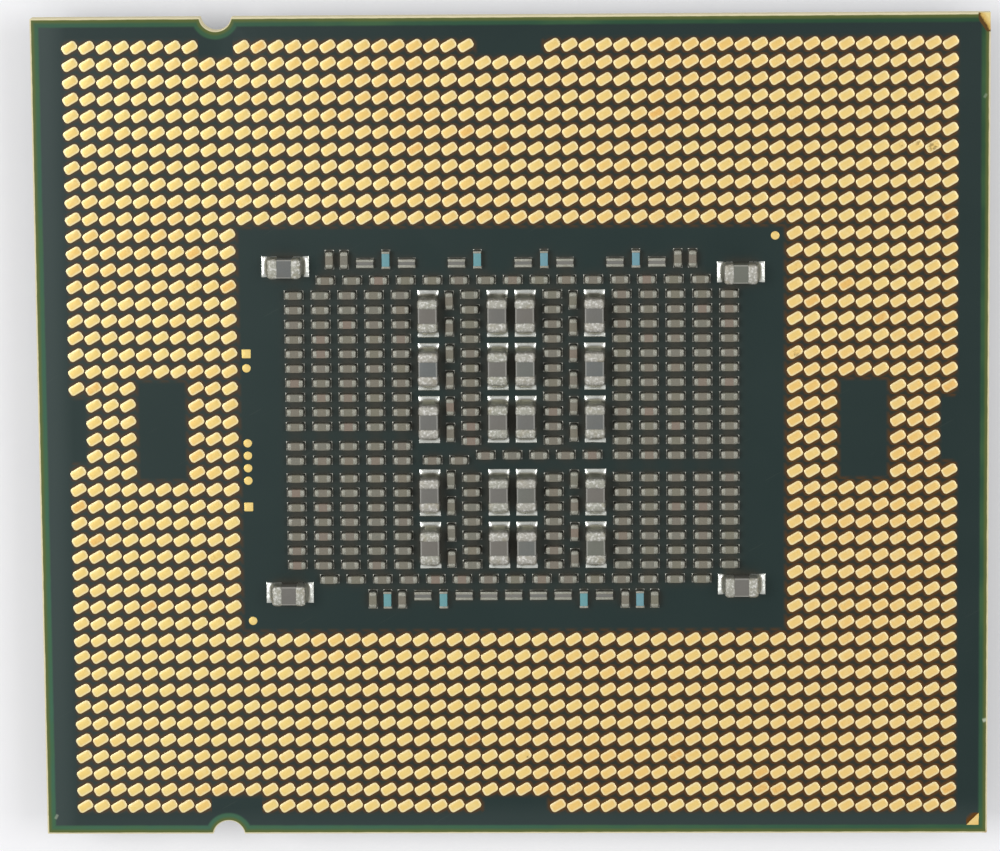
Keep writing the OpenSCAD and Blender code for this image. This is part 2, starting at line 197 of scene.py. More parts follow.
def rounded_outline(half_x, half_y, radius, steps):
    """Points around a rectangle with round corners, from the lower right corner on."""
    points = []
    for corner, (side_x, side_y) in enumerate([(1, -1), (1, 1), (-1, 1), (-1, -1)]):
        for step in range(steps + 1):
            turn = math.radians(90 * (corner - 1 + step / steps))
            x = side_x * (half_x - radius) + radius * math.cos(turn)
            y = side_y * (half_y - radius) + radius * math.sin(turn)
            points.append((x, y))
    return points


def loft(rings):
    """A skin over rings that all have as many points, closed at both ends."""
    count = len(rings[0])
    last = (len(rings) - 1) * count
    points = [point for ring in rings for point in ring]
    faces = [tuple(reversed(range(count))), tuple(range(last, last + count))]
    for row in range(0, last, count):
        for i in range(count):
            j = (i + 1) % count
            faces.append((row + i, row + j, row + count + j, row + count + i))
    return np.array(points, float), faces


def add_piece(name, form, material, nodes, crease=35, marks=None):
    """Makes a piece of a form in millimetres that stands for CAD nodes; marks are values at its points."""
    points, faces = form
    mesh = bpy.data.meshes.new(name)
    mesh.from_pydata((points * MM).tolist(), [], faces)
    shell = bmesh.new()
    shell.from_mesh(mesh)
    bmesh.ops.recalc_face_normals(shell, faces=shell.faces)
    shell.to_mesh(mesh)
    shell.free()
    mesh.materials.append(material)
    mesh.polygons.foreach_set("use_smooth", [True] * len(mesh.polygons))
    mesh.set_sharp_from_angle(angle=math.radians(crease))
    for mark, values in (marks or {}).items():
        mesh.attributes.new(mark, "FLOAT", "POINT").data.foreach_set("value", values)
    made = bpy.data.objects.new(name, mesh)
    bpy.context.scene.collection.objects.link(made)
    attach(made, "root")
    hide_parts(*nodes)
    return made


def notch_arc(inset, side):
    """Points along a key notch in the upper or the lower edge, moved in by an inset."""
    reach = notch_r + inset
    swing = math.acos((notch_y - half_d + inset) / reach)
    turns = [swing * (1 - step / 12) for step in range(25)]
    return [(notch_x + side * reach * math.sin(t), side * (notch_y - reach * math.cos(t))) for t in turns]


def board_ring(inset, height, broken=None):
    """One ring of the board. At the broken corner it dips, or cuts across."""
    corners = rounded_outline(half_w - inset, half_d - inset, max(corner_r - inset, 0.02), corner_steps)
    ring = [(x, y, height) for x, y in corners]
    for step in range(corner_steps + 1):
        along = step / corner_steps
        wander = broken_wander * math.sin(11 * along) * math.sin(math.pi * along)
        x = half_w - inset - broken_x * max(2 * along - 1, 0)
        y = half_d - inset - broken_y * max(1 - 2 * along, 0)
        z = height
        if broken == "cut":
            x = half_w - inset - broken_x * along ** 0.8 - wander
            y = half_d - inset - broken_y * (1 - along) ** 0.8 + wander
        if broken == "dip":
            z = height - (broken_deep - rim_drop) * math.sin(math.pi * along)
        ring[corner_steps + 1 + step] = (x, y, z)
    upper = [(x, y, height) for x, y in notch_arc(inset, 1)]
    lower = [(x, y, height) for x, y in notch_arc(inset, -1)]
    half_way = 2 * (corner_steps + 1)
    return ring[:half_way] + upper + ring[half_way:] + lower


board = loft([
    board_ring(base_bevel, board_base),
    board_ring(0.0, board_base + base_bevel),
    board_ring(0.0, board_top - rim_drop, "dip"),
    board_ring(rim_in * rim_bend, board_top - rim_drop * rim_bend, "cut"),
    board_ring(rim_in, board_top, "cut"),
])

# The lands lie on a square grid, turned by land_tilt, and land_gap is the distance from a place on the
# board to the nearest of them. The window, the side pockets and the gaps at the edges have none; their
# sizes and the grid's are in steps of the grid.
pitch = 1.016
land_half_l = 0.47
land_half_w = 0.29
land_corner = 0.2
land_tilt = math.radians(30)
grid_half_x = 26
grid_half_y = 23
window_half_x = 16
window_half_y = 12
pocket_x = 20.5
pocket_half_x = 1.5
pocket_half_y = 3
gap_half = 2


def span(x, y):
    """Length of a line that goes so far along X and so far along Y."""
    return (x * x + y * y) ** 0.5


def in_cell(along):
    """Where a place along X or Y is in its cell of the grid, from -0.5 to 0.5."""
    return along / pitch - (along / pitch).floor() - 0.5


def outside_land(x, y):
    """Distance past the rim of a land whose middle is x and y away; below 0 on the land itself."""
    along = abs(x * math.cos(land_tilt) + y * math.sin(land_tilt)) - (land_half_l - land_corner)
    across = abs(y * math.cos(land_tilt) - x * math.sin(land_tilt)) - (land_half_w - land_corner)
    return span(along.most(0.0), across.most(0.0)) + along.most(across).least(0.0) - land_corner


mask, place = begin("solder_mask_on_laminate")
x, y, z = place.axes()
cloud = place.noise(0.22, 3.0)
grain = place.noise(7.0, 3.0, 0.6)
from_notch = span(x - notch_x, abs(y) - notch_y) - notch_r
rim = (half_w - abs(x)).least(half_d - abs(y)).least(from_notch + 0.04) + 0.05 * (place.noise(1.4) - 0.5)

cell_x = in_cell(x)
cell_y = in_cell(y)
side = 1 - 2 * (cell_x < 0.0)
land_gap = outside_land(cell_x * pitch, cell_y * pitch).least(
    outside_land((cell_x - side) * pitch, cell_y * pitch))
rows_x = abs(x) / pitch
rows_y = abs(y) / pitch


def within(distance, reach):
    """1 nearer than reach and 0 beyond, with a soft border."""
    return 1 - distance.rise(reach - 0.25, reach + 0.1)


outer_row = 1 - within(rows_y, grid_half_y - 1)
outer_column = 1 - within(rows_x, grid_half_x - 1)
past_notch = abs((x - notch_x) / pitch - 0.5 * (y < 0.0))
free = (
    within(rows_x, window_half_x) * within(rows_y, window_half_y)
    + within(abs(rows_x - pocket_x), pocket_half_x) * within(rows_y, pocket_half_y)
    + outer_row * within(rows_x, gap_half)
    + outer_column * within(rows_y, gap_half)
    + outer_row * (past_notch < 1.0 + 0.5 * (y < 0.0))
    + 1 - within(rows_x, grid_half_x) * within(rows_y, grid_half_y)
).least(1.0)
on_top = z > board_top - skin
among_lands = (1 - free) * on_top
halo = (1 - land_gap.rise(0.0, 0.25)) * among_lands
mark_low, mark_high = (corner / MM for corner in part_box("first_land_mark"))
past_slant = (y - mark_low.y - x + mark_low.x) / math.sqrt(2)
beside_mark = (x > mark_low.x) * (x < mark_high.x) * (y > mark_low.y) * (y < mark_high.y)
mark_halo = (1 - past_slant.rise(0.1, 0.42)) * beside_mark * on_top

# Scuffs on the border: place, half their length, turn and strength
border_scuffs = [(27.94, 19.72, 0.18, 1.0, 0.25), (28.06, -17.68, 0.16, 0.3, 0.8),
                 (-27.67, -23.51, 0.2, 1.1, 0.35)]
specks = place.node("TexVoronoi", sockets={"Vector": place, "Scale": 1.1})
speck_pick = Wire(specks.socket.node.outputs[1]).axes()[0]
dust = (specks < 0.03) * (speck_pick > 0.9)
hairs = place.vector(x * 0.5 + y * 0.3, y * 16.0 - x * 9.0).noise(0.35, 1.0)
scratch = hairs.rise(0.74, 0.76)
# Painted light: where nearby parts hide the sky, the mask is painted browner and paler, and paler still in
# the deepest gaps, which lifts and warms the shade there
open_sky = place.node("AmbientOcclusion", {"samples": 6}, {"Distance": 0.7 * MM}, out=1)
painted_crevice_tint = 1 - open_sky.rise(0.45, 0.95)
painted_fill_in_gaps = 1 - open_sky.rise(0.15, 0.5)

colour = cloud.blend(paint(31, 47, 46), paint(39, 54, 52))

# The mask is paler towards the left and lower edges, which is painted light, and browner between the lands
painted_light_left = 0.6 - 0.6 * (x + half_w).rise(0.6, 3.0)
painted_light_left = painted_light_left.most((0.36 - 0.18 * free) * (1 - (x + half_w).rise(3.0, 26.0)))
painted_light_low = 0.3 - 0.3 * (y + half_d).rise(0.6, 2.4)
colour = painted_light_left.most(painted_light_low).blend(colour, paint(72, 84, 82))
browner = (0.19 + 0.17 * x / half_w - 0.05 * y / half_d) * among_lands
colour = browner.blend(colour, paint(60, 46, 22))
halo_share = 0.74 + 0.2 * x / half_w - 0.08 * y / half_d
colour = (halo_share * halo.most(mark_halo)).blend(colour, paint(98, 60, 10))
# Painted light in the shade beside and between parts: a brown tint, paler still in the deepest gaps
colour = (0.55 * painted_crevice_tint).blend(colour, paint(74, 68, 58))
colour = (0.6 * painted_fill_in_gaps).blend(colour, paint(108, 100, 88))
colour = (0.07 * scratch + 0.5 * dust).blend(colour, paint(110, 116, 104))
# The border is paler towards the lower left, which is painted light like the mask's
border = (x / half_w * 0.4 + y / half_d * 0.25 + 0.5).blend(paint(64, 104, 82), paint(36, 72, 48))
border = (0.5 * cloud.rise(0.4, 0.7)).blend(border, paint(70, 104, 62))
colour = (1 - rim.rise(0.44, 0.6)).blend(colour, border)
colour = (0.9 - 0.9 * rim.rise(0.14, 0.38)).blend(colour, paint(94, 102, 48))
for scuff_x, scuff_y, scuff_half, scuff_turn, strength in border_scuffs:
    along = abs((x - scuff_x) * math.cos(scuff_turn) + (y - scuff_y) * math.sin(scuff_turn))
    aside = abs((y - scuff_y) * math.cos(scuff_turn) - (x - scuff_x) * math.sin(scuff_turn))
    worn = (1 - along.rise(0.5 * scuff_half, scuff_half)) * (1 - aside.rise(0.03, 0.09 + 0.1 * strength))
    colour = (strength * worn * (z > board_top - mask_wrap)).blend(colour, paint(190, 200, 176))

fibre = place.vector(x * 3.0, y * 3.0, z * 26.0).noise(1.0, 3.0)
laminate = fibre.blend(paint(220, 208, 164), paint(236, 228, 194))
plies = (z - board_base) / ply
ply_line = 1 - abs(plies - plies.floor() - 0.5).rise(0.30, 0.42)
laminate = (0.35 * (1 - ply_line)).blend(laminate, paint(150, 132, 82))
wall = (z < board_top - mask_wrap) * (z > board_base + 0.4 * base_bevel)
bare = (1 - rim.rise(0.06, 0.12)).most(wall)
near_break = (x > half_w - broken_x - 0.1) * (y > half_d - broken_y - 0.1) * (z < board_top - 0.004)
near_break = near_break * (z - 0.1 * grain).rise(board_top - broken_deep - 0.1, board_top - broken_deep)
break_in = (half_w - x) / broken_x + (half_d - y) / broken_y + 0.5 * (grain - 0.5)
raw = fibre.blend(paint(230, 202, 124), paint(246, 228, 168))
raw = break_in.rise(0.4, 0.95).blend(raw, paint(216, 178, 98))
raw = break_in.rise(0.9, 1.2).blend(raw, paint(88, 60, 20))
laminate = near_break.blend(laminate, raw)
near_mark = 0.55 * (1 - (half_w - x + half_d + y + 0.3 * grain).rise(0.25, 0.55)) * (z > board_top - 0.3)
laminate = near_mark.blend(laminate, paint(176, 132, 52))
colour = bare.most(near_break).blend(colour, laminate)
coat(mask, {
    "Base Color": colour,
    "Roughness": 0.38 + 0.14 * grain + 0.25 * bare,
    "Specular IOR Level": 0.15,
    "Normal": (grain + 0.6 * fibre * bare).bump(0.006),
})
add_piece("substrate", board, mask, ["package_substrate"])


# Die, underfill and thermal solder.
# The ground silicon chip is soldered face down on the board, dark resin is drawn in under it by
# capillary force, and its back is joined to the heat spreader by a sheet of soft solder.
silicon, place = begin("ground_silicon")
x, y, z = place.axes()
grinding = place.vector(x * 0.3, y * 9.0, z).noise(1.2, 3.0)
coat(silicon, {
    "Base Color": grinding.blend(paint(58, 62, 70), paint(84, 88, 96)),
    "Roughness": 0.22 + 0.2 * grinding,
    "Metallic": 0.35,
    "Normal": grinding.bump(0.002),
})
resin, place = begin("underfill_resin")
flow = place.noise(0.8, 4.0)
coat(resin, {
    "Base Color": flow.blend(paint(22, 22, 24), paint(40, 38, 36)),
    "Roughness": 0.3 + 0.25 * flow,
    "Normal": flow.bump(0.02),
})
soft_solder, place = begin("thermal_solder_sheet")
crystal = place.node("TexVoronoi", sockets={"Vector": place, "Scale": 1.6})
coat(soft_solder, {
    "Base Color": crystal.blend(paint(150, 150, 148), paint(196, 196, 192)),
    "Roughness": 0.35 + 0.25 * crystal,
    "Metallic": 1.0,
    "Normal": crystal.bump(0.01),
})
dress("silicon_die", silicon)
dress("die_underfill", resin)
dress("thermal_solder", soft_solder)


# Heat spreader and its sealant.
# A cup pressed out of copper and plated with nickel: a raised middle that meets the heat sink, and a
# brim whose foot is stuck to the board with a bead of dark silicone that is open at one side.
brim_half_x, brim_half_y, lid_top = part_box("heat_spreader")[1] / MM
brim_r = 2.0
plateau_in_x = 4.0
plateau_in_y = 2.4
plateau_r = 2.5
plateau_high = 1.45
foot_w = 3.0
hollow_r = 1.5
hollow_floor = 2.05
press_r = 0.3
brim_edge_r = 0.22


def lid_ring(half_x, half_y, radius, height):
    return [(x, y, height) for x, y in rounded_outline(half_x, half_y, radius, 12)]


def plateau_ring(out, height):
    half_x = brim_half_x - plateau_in_x + out
    half_y = brim_half_y - plateau_in_y + out
    return lid_ring(half_x, half_y, plateau_r + out, height)


def brim_ring(inset, height):
    return lid_ring(brim_half_x - inset, brim_half_y - inset, brim_r - inset, height)


quarter = [math.radians(90 * step / 5) for step in range(6)]
lid_rings = [plateau_ring(-press_r * (1 - math.sin(t)), press_r * (1 - math.cos(t))) for t in quarter]
lid_rings += [plateau_ring(press_r * (1 - math.cos(t)), plateau_high - press_r * (1 - math.sin(t)))
              for t in quarter]
lid_rings += [brim_ring(brim_edge_r * (1 - math.sin(t)), plateau_high + brim_edge_r * (1 - math.cos(t)))
              for t in quarter]
lid_rings += [brim_ring(brim_edge_r * (1 - math.cos(t)), lid_top - brim_edge_r * (1 - math.sin(t)))
              for t in quarter]
hollow = (brim_half_x - foot_w, brim_half_y - foot_w, hollow_r)
lid_rings += [lid_ring(*hollow, lid_top), lid_ring(*hollow, hollow_floor)]

nickel, place = begin("nickel_plate")
x, y = place.axes()[:2]
peel = place.noise(5.0, 4.0, 0.6)
haze = place.noise(0.16, 3.0)
swirl = place.vector(x * 0.5 + y * 0.12, y * 11.0 - x * 2.6).noise(0.6, 2.0)
swirl_across = place.vector(x * 9.0 + y * 4.0, y * 0.5 - x * 0.2).noise(0.5, 2.0)
marks = swirl.rise(0.66, 0.72).most(swirl_across.rise(0.68, 0.73))
coat(nickel, {
    "Base Color": (0.5 * haze + 0.3 * marks).blend(paint(186, 184, 178), paint(206, 204, 200)),
    "Roughness": 0.24 + 0.12 * peel + 0.1 * haze - 0.08 * marks,
    "Metallic": 1.0,
    "Normal": (peel - 0.5 * marks).bump(0.006),
})
add_piece("heat_spreader_lid", loft(lid_rings), nickel, ["heat_spreader"])

silicone, place = begin("lid_silicone")
squeeze = place.noise(1.1, 4.0)
coat(silicone, {
    "Base Color": squeeze.blend(paint(34, 34, 35), paint(58, 57, 56)),
    "Roughness": 0.55 + 0.2 * squeeze,
    "Normal": squeeze.bump(0.03),
})
dress("lid_sealant", silicone)


# Lands.
# Copper lands under nickel and a thin skin of gold, all turned alike so that the socket's springs wipe
# along them. Each has its own tone, and some carry the stains and small marks of earlier contact.
land_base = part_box("upper_lands")[0].z / MM
land_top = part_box("upper_lands")[1].z / MM
land_edge = 0.022
land_crown = 0.004


def solids(node):
    """Low and high corners of each solid of a CAD node, in millimetres."""
    joined = bmesh.new()
    joined.from_mesh(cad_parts[node].data)
    bmesh.ops.remove_doubles(joined, verts=joined.verts, dist=1e-7)
    boxes = []
    seen = set()
    for first in joined.verts:
        if first in seen:
            continue
        seen.add(first)
        island = [first]
        for vert in island:
            for edge in vert.link_edges:
                other = edge.other_vert(vert)
                if other not in seen:
                    seen.add(other)
                    island.append(other)
        corners = np.array([vert.co for vert in island]) / MM
        boxes.append((Vector(corners.min(0)), Vector(corners.max(0))))
    joined.free()
    return boxes


def turned(form, turn, centre):
    """A form turned about Z and moved to a centre."""
    points, faces = form
    spin = np.array(Matrix.Rotation(turn, 3, "Z"))
    return points @ spin.T + np.array(centre), faces


def gather(forms):
    """Many forms as one."""
    faces = []
    start = 0
    for points, form_faces in forms:
        faces += [tuple(i + start for i in face) for face in form_faces]
        start += len(points)
    return np.concatenate([points for points, form_faces in forms]), faces


def flat_pad(outline_at, low, high, edge, crown):
    """A thin pad with rounded rim and slightly crowned face; outline_at gives its outline at an inset."""
    levels = [(0.0, low), (0.0, high - edge), (edge * 0.3, high - edge * 0.3), (edge, high - crown)]
    rings = [[(x, y, z) for x, y in outline_at(inset)] for inset, z in levels]
    points, faces = loft(rings)
    count = len(rings[0])
    last = len(points) - count
    faces = [face for face in faces if face != tuple(range(last, last + count))]
    points = np.vstack([points, [[*points[last:, :2].mean(0), high]]])
    faces += [(last + i, last + (i + 1) % count, last + count) for i in range(count)]
    return points, faces


def gold_plate(name, on_grid):
    """Satin gold over nickel. On the grid each land has its own tone and a paler rim, which is a painted
    highlight.
    """
    material, place = begin(name)
    x, y = place.axes()[:2]
    grain = place.noise(11.0, 3.0, 0.65)
    drift = place.noise(0.07, 2.0)
    warm = place.noise(0.13, 2.0)
    smear = place.noise(2.6, 3.0)
    cell = place.vector((x / pitch).floor(), (y / pitch).floor())
    tone = place.node("TexWhiteNoise", {"noise_dimensions": "2D"}, {"Vector": cell})
    colour = tone.blend(paint(245, 219, 137), paint(244, 212, 129))
    colour = (x / half_w * 0.3 + 0.3 + 0.4 * drift.rise(0.4, 0.75)).blend(colour, paint(244, 209, 133))
    colour = (0.45 * warm.rise(0.5, 0.68)).blend(colour, paint(243, 195, 112))
    colour = (0.5 * (tone > 0.982)).blend(colour, paint(240, 180, 96))
    colour = (0.4 * smear.rise(0.45, 0.8)).blend(colour, paint(247, 227, 166))
    if on_grid:
        # Painted highlight: each land's rim is paler
        rim = outside_land(in_cell(x) * pitch, in_cell(y) * pitch)
        colour = ((0.4 + 0.8 * smear) * rim.rise(-0.17, -0.03)).blend(colour, paint(253, 238, 190))
    soil = place.noise(4.5, 4.0, 0.7)
    stain = (tone > 0.97) * soil.rise(0.5, 0.62) * 0.14
    for spot_x, spot_y, size, strength in land_stains:
        spot = 1 - span(x - spot_x, y - spot_y).rise(0.3 * size, size)
        stain = stain.most(spot * soil.rise(0.44, 0.56) * strength)
    colour = (0.3 * grain.rise(0.55, 0.8)).blend(colour, paint(200, 152, 76))
    colour = stain.blend(colour, paint(112, 88, 48))
    coat(material, {
        "Base Color": colour,
        "Roughness": 0.3 + 0.12 * grain + 0.3 * stain,
        "Metallic": 1.0,
        "Normal": grain.bump(0.004),
    })
    return material


# Stains on single lands: place on the board, size and strength
land_stains = [(22.98, 16.82, 0.22, 0.5), (24.05, 16.92, 0.26, 0.55), (24.88, 16.76, 0.46, 0.62),
               (16.81, 4.5, 0.3, 0.5), (0.73, -19.84, 0.12, 0.9)]
land_gold = gold_plate("gold_lands", True)


def land_outline(inset):
    return rounded_outline(land_half_l - inset, land_half_w - inset, land_corner - inset, 5)


land_form = turned(flat_pad(land_outline, land_base, land_top, land_edge, land_crown), land_tilt, (0, 0, 0))
for node in ("upper_lands", "lower_lands", "left_lands", "right_lands"):
    middles = [(low + high) / 2 for low, high in solids(node)]
    bank = gather([turned(land_form, 0, (m.x, m.y, 0)) for m in middles])
    add_piece("gold_" + node, bank, land_gold, [node], crease=60)


# Test pads and first-land mark.
# Gold pads on which probes test the package, two of them square, and a bare three-cornered patch that
# shows how the package goes into its socket. They are made with the lands.
pad_gold = gold_plate("gold_pads", False)
square_corner = 0.06


def test_pads(node, corner, steps):
    """The pads of a node, each as wide as it is long, with a corner radius or with none as a disc."""
    pads = []
    for low, high in solids(node):
        half = (high.x - low.x) / 2

        def outline(inset):
            return rounded_outline(half - inset, half - inset, (corner or half) - inset, steps)

        form = flat_pad(outline, low.z, high.z, land_edge, land_crown)
        pads.append(turned(form, 0, ((low.x + high.x) / 2, (low.y + high.y) / 2, 0)))
    return gather(pads)


def mark_outline(inset):
    slant = inset * (1 + math.sqrt(2))
    return [(mark_high.x - inset, mark_low.y + inset), (mark_high.x - inset, mark_high.y - slant),
            (mark_low.x + slant, mark_low.y + inset)]


add_piece("gold_round_pads", test_pads("round_test_pads", None, 7), pad_gold,
          ["round_test_pads"], crease=60)
add_piece("gold_square_pads", test_pads("square_test_pads", square_corner, 4), pad_gold,
          ["square_test_pads"], crease=60)
add_piece("gold_first_land_mark", flat_pad(mark_outline, mark_low.z, mark_high.z, land_edge, land_crown),
          pad_gold, ["first_land_mark"], crease=60)


# Large capacitors.
# Fired blocks of grey ceramic with thick metal ends that are dipped and tinned. They stand on bright
# solder that is drawn up each end face, lowest at the corners of its pad.
rng = random.Random(5)
bar_steps = 3


def chips(bodies, ends):
    """Middle and turn of each chip, and its length, width, height and metal end in millimetres."""
    end_boxes = solids(ends)
    places = []
    for low, high in solids(bodies):
        middle = (low + high) / 2
        near = sorted(end_boxes, key=lambda box: ((box[0] + box[1]) / 2 - middle).length)[:2]
        whole_low = Vector(map(min, near[0][0], near[1][0]))
        whole_high = Vector(map(max, near[0][1], near[1][1]))
        apart = (near[0][0] + near[0][1] - near[1][0] - near[1][1]) / 2
        lying = abs(apart.x) > abs(apart.y)
        size = whole_high - whole_low
        end_size = near[0][1] - near[0][0]
        places.append(((middle.x, middle.y, 0), 0 if lying else math.pi / 2))
        kind = {
            "length": size.x if lying else size.y,
            "width": size.y if lying else size.x,
            "low": whole_low.z,
            "high": whole_high.z,
            "end": end_size.x if lying else end_size.y,
        }
    return places, kind


def bar(start, end, half_y, low, high, corner, start_round, end_round):
    """A bar along X whose section has round corners, with both end faces rounded off, more in plan."""
    middle = (low + high) / 2
    half_z = (high - low) / 2
    steps = [math.radians(90 * step / bar_steps) for step in range(bar_steps + 1)]
    levels = [(start + start_round * (1 - math.cos(t)), start_round * (1 - math.sin(t))) for t in steps]
    levels += [(end - end_round * (1 - math.sin(t)), end_round * (1 - math.cos(t))) for t in steps]
    return loft([
        [(x, y, middle + z) for y, z in
         rounded_outline(half_y - inset, half_z - 0.5 * inset, max(corner - inset, 0.01), bar_steps)]
        for x, inset in levels])


def bar_highlight_edges():
    """Marks the round long edges of a bar, which are the four corners of each of its rings, where the grey
    ceramic paints a highlight.
    """
    corner = [0.0] + [1.0] * (bar_steps - 1) + [0.0]
    return corner * 4 * (2 * bar_steps + 2)


def both_ends(form):
    """A form at the right end of a chip, and the same turned round to its left end."""
    return gather([form, turned(form, math.pi, (0, 0, 0))])


def set_out(name, form, places, material, node, crease=35, edge=None):
    """One piece with a copy of a form at each place, each with a tone of its own."""
    forms = [turned(form, turn, middle) for middle, turn in places]
    marks = {"tone": [tone for chip in forms for tone in [rng.random()] * len(chip[0])]}
    if edge:
        marks["edge"] = edge * len(forms)
    return add_piece(name, gather(forms), material, [node], crease, marks)


def mark_of(place, name):
    return place.node("Attribute", {"attribute_name": name}, out=2)


large_places, large = chips("large_capacitor_bodies", "large_capacitor_ends")
large_half_l = large["length"] / 2
large_half_w = large["width"] / 2
large_inset = 0.04
large_corner = 0.13
body_short = 0.1
body_corner = 0.1
body_round = 0.02
end_reach = 0.09
end_inner_round = 0.12
end_outer_round = 0.22
large_body = bar(-large_half_l + body_short, large_half_l - body_short, large_half_w - large_inset,
                 large["low"] + large_inset, large["high"] - large_inset,
                 body_corner, body_round, body_round)
large_end = both_ends(bar(large_half_l - large["end"] - end_reach, large_half_l, large_half_w,
                          large["low"], large["high"], large_corner, end_inner_round, end_outer_round))

pad_rim = 0.02
pad_half_w = large_half_w + pad_rim
film = large["low"] - board_top
toe = 0.415
climb = 0.55
tuck = 0.03
lip = 0.015
fillet_steps = [0.0, 0.05, 0.12, 0.2, 0.3, 0.42, 0.6, 0.86]


def solder_section(across):
    """Section of the solder at a place across its pad, from -1 to 1, as X and Z."""
    hold = 1 - max(0, (abs(across) - 0.55) / 0.45) ** 0.9
    rise = climb * max(hold, 0)
    edge = film * (0.35 + 0.65 * min(1, (1 - abs(across)) / 0.12))
    inner_x = large_half_l - large["end"]
    outer_x = large_half_l + toe
    points = [(inner_x, 0.0), (inner_x, edge)]
    points += [(large_half_l - tuck + (toe + tuck) * u, edge + rise * (1 - u) ** 3.4) for u in fillet_steps]
    points += [(outer_x - lip, edge * 0.8), (outer_x, edge * 0.3), (outer_x, 0.0)]
    return points


across_steps = [-1.0, -0.97, -0.9, -0.8, -0.7, -0.55, -0.3, 0.0, 0.3, 0.55, 0.7, 0.8, 0.9, 0.97, 1.0]
large_solder = both_ends(loft([
    [(x, pad_half_w * across, board_top + z) for x, z in solder_section(across)]
    for across in across_steps]))

grey_ceramic, place = begin("grey_ceramic")
tone = mark_of(place, "tone")
fired = place.noise(9.0, 4.0, 0.6)
patch = place.noise(1.3, 2.0)
colour = tone.blend(paint(88, 96, 98), paint(104, 99, 92))
colour = (tone * 7.0 - (tone * 7.0).floor()).rise(0.6, 1.0).blend(colour, paint(96, 101, 89))
colour = (0.5 * patch).blend(colour, paint(100, 96, 86))
colour = (0.25 * fired).blend(colour, paint(140, 138, 132))
# Painted highlight along the round long edges
colour = (0.45 * mark_of(place, "edge")).blend(colour, paint(196, 195, 188))
coat(grey_ceramic, {
    "Base Color": colour,
    "Roughness": 0.3 + 0.2 * fired,
    "Specular IOR Level": 0.5,
    "Normal": fired.bump(0.008),
})

dipped_tin, place = begin("dipped_tin")
tone = mark_of(place, "tone")
pebble = place.noise(6.5, 4.0, 0.65)
patch = place.noise(2.2, 2.0)
colour = tone.blend(paint(160, 160, 148), paint(167, 164, 155))
colour = (0.72 * pebble.rise(0.46, 0.68)).blend(colour, paint(234, 233, 229))
colour = (0.45 * patch.rise(0.5, 0.75)).blend(colour, paint(146, 138, 114))
coat(dipped_tin, {
    "Base Color": colour,
    "Roughness": 0.4 + 0.2 * pebble,
    "Metallic": 0.8,
    "Normal": pebble.bump(0.03),
})

bright_solder, place = begin("bright_solder")
z = place.axes()[2]
ripple = place.noise(3.5, 3.0, 0.6)
flux = (z - board_top).rise(0.045, 0.11) * ripple.rise(0.2, 0.5)
colour = ripple.blend(paint(206, 209, 202), paint(232, 234, 228))
colour = (0.7 * flux).blend(colour, paint(200, 195, 175))
coat(bright_solder, {
    "Base Color": colour,
    "Roughness": 0.2 + 0.18 * ripple + 0.12 * flux,
    "Metallic": 1.0,
    "Normal": ripple.bump(0.018),
})
set_out("large_ceramics", large_body, large_places, grey_ceramic, "large_capacitor_bodies",
        edge=bar_highlight_edges())
set_out("large_tinned_ends", large_end, large_places, dipped_tin, "large_capacitor_ends",
        crease=60)
set_out("large_solder", large_solder, large_places, bright_solder, "large_capacitor_solder",
        crease=60)


# Small capacitors.
# The same kind of part in its smallest size, in blocks, columns and rows across the field. The ceramic
# is tan, pinkish or greenish from batch to batch, and a little solder wets three sides of each end.
small_round = 0.15
small_toe = 0.07
small_climb = 0.12
small_flank = 0.03
ceramic_inset = 0.015
ceramic_corner = 0.03
ceramic_round = 0.01
ceramic_overlap = 0.04
seam_round = 0.015


def chip_body(kind):
    half_l = kind["length"] / 2 - kind["end"] + ceramic_overlap
    return bar(-half_l, half_l, kind["width"] / 2 - ceramic_inset, kind["low"] + ceramic_inset,
               kind["high"] - ceramic_inset, ceramic_corner, ceramic_round, ceramic_round)


def chip_ends(kind, rounding):
    half_l = kind["length"] / 2
    return both_ends(bar(half_l - kind["end"], half_l, kind["width"] / 2,
                         kind["low"], kind["high"], 0.6 * rounding, seam_round, rounding))


def chip_solder(kind, toe, climb, flank):
    """Solder drawn up the end face and a little way along both sides of each end."""
    half_l = kind["length"] / 2
    half_w = kind["width"] / 2
    back = half_l - kind["end"] * 0.9
    shoulder = half_l - 0.1
    wall = 0.03
    film = 0.004
    stations = []
    for side in (-1, 1):
        in_y = side * (half_w - wall)
        out_y = side * (half_w + flank)
        stations.append([
            ((back, in_y), (back, side * (half_w + film)), 0.02),
            ((shoulder, in_y), (shoulder, out_y), climb * 0.5),
            ((half_l - wall, in_y), (half_l + 0.02, out_y), climb * 0.6),
            ((half_l - wall, in_y), (half_l + toe, out_y), climb * 0.7),
            ((half_l - wall, side * half_w * 0.6), (half_l + toe, side * half_w * 0.6), climb * 0.9),
        ])
    middle = [((half_l - wall, 0.0), (half_l + toe, 0.0), climb)]
    path = stations[0] + middle + list(reversed(stations[1]))
    rings = []
    for (in_x, in_y), (out_x, out_y), rise in path:
        ring = [(in_x, in_y, board_top), (out_x, out_y, board_top), (out_x, out_y, board_top + film)]
        for u in (0.8, 0.55, 0.3, 0.1, 0.0):
            ring.append((in_x + (out_x - in_x) * u, in_y + (out_y - in_y) * u,
                         board_top + film + rise * (1 - u) ** 2.0))
        rings.append(ring)
    form = both_ends(loft(rings))
    # The outer corners of the pad are marked for a painted glint
    corner = (abs(form[0][:, 0]) > half_l) & (abs(form[0][:, 1]) > half_w)
    return form, corner.astype(float).tolist()


